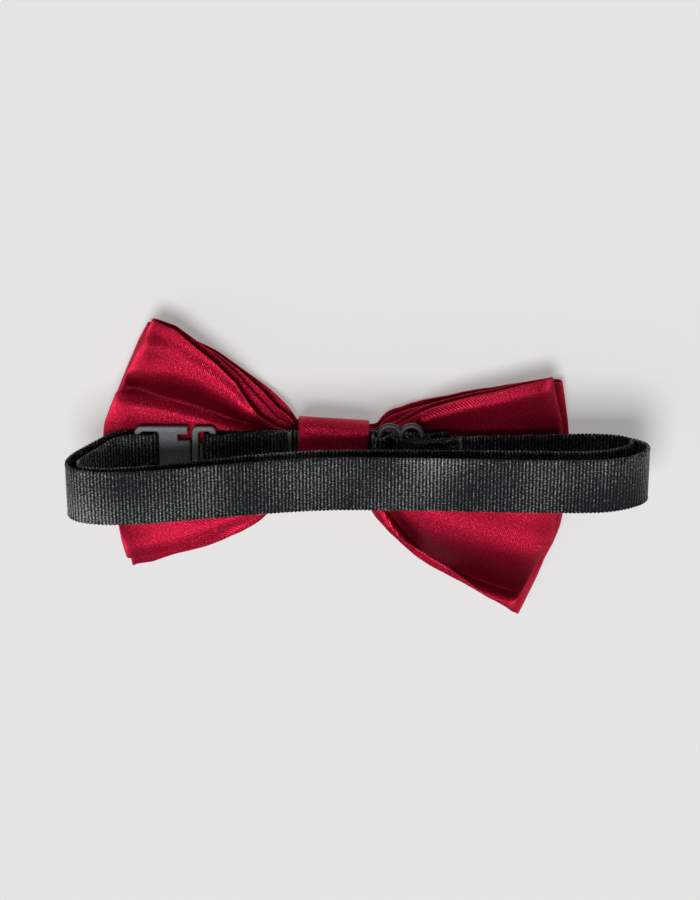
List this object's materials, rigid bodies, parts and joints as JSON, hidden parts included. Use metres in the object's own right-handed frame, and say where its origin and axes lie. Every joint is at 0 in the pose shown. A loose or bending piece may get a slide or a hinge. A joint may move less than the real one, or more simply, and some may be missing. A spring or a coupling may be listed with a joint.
{
  "type": "bow tie",
  "caption": "Pre-tied satin bow tie on a doubled elastic neckband, with a two-part plastic clip and a figure-eight length slider, lying face down.",
  "frame": {"origin": "centre of the knot's front face, on the surface that the bow lies on", "axes": "+X along the neckband's long direction, from the clip to the slider; +Y towards the top of the bow as worn; +Z out of the back of the bow, up when it lies face down"},
  "size_m": [0.1503, 0.0841, 0.0355],
  "materials": {
    "red_satin": "crimson polyester satin, soft directional sheen",
    "interlining": "non-woven fusible interlining, matt",
    "red_thread": "polyester sewing thread",
    "black_thread": "polyester sewing thread",
    "elastic_webbing": "near-black ribbed woven elastic with a looped edge",
    "moulded_plastic": "dark grey moulded acetal, fine spark texture"
  },
  "bodies": {
    "tie": {"front_bow": "red_satin", "rear_bow": "red_satin", "front_interlining_left": "interlining", "rear_interlining_left": "interlining", "front_interlining_right": "interlining", "rear_interlining_right": "interlining", "gather_thread": "red_thread", "knot_wrap": "red_satin", "knot_lining": "interlining", "knot_stitches": "red_thread", "short_strap": "elastic_webbing", "short_strap_tack": "black_thread", "short_strap_anchor_tack": "black_thread", "band_anchor_tack": "black_thread", "band_back_strand": "elastic_webbing", "band_outer_right_turn": "elastic_webbing", "band_outer_front_strand": "elastic_webbing", "band_outer_left_turn": "elastic_webbing", "band_hook_fold": "elastic_webbing", "band_inner_left_turn": "elastic_webbing", "band_inner_front_strand": "elastic_webbing", "band_inner_right_turn": "elastic_webbing", "band_free_strand": "elastic_webbing"},
    "hook": {"clip_hook": "moulded_plastic"},
    "ring": {"clip_ring": "moulded_plastic"},
    "slider": {"slider": "moulded_plastic", "band_weave": "elastic_webbing", "band_sewn_tab": "elastic_webbing", "band_tab_tack": "black_thread"}
  },
  "joints": [
    {"name": "hook_tilt", "type": "hinge", "parent": "tie", "child": "hook", "pos_m": [-0.051, 0.001, 0.0142], "axis": [0, -1, 0], "range_deg": [0, 4]},
    {"name": "ring_tilt", "type": "hinge", "parent": "tie", "child": "ring", "pos_m": [-0.0312, 0.001, 0.0142], "axis": [0, 1, 0], "range_deg": [0, 13]},
    {"name": "slider_slide", "type": "slide", "parent": "tie", "child": "slider", "axis": [1, 0, 0], "range_m": [0, 0.022], "deforming": ["band_free_strand"]}
  ],
  "couplings": [
    {"joint": "ring_tilt", "follows": "hook_tilt", "ratio": 3.2}
  ]
}
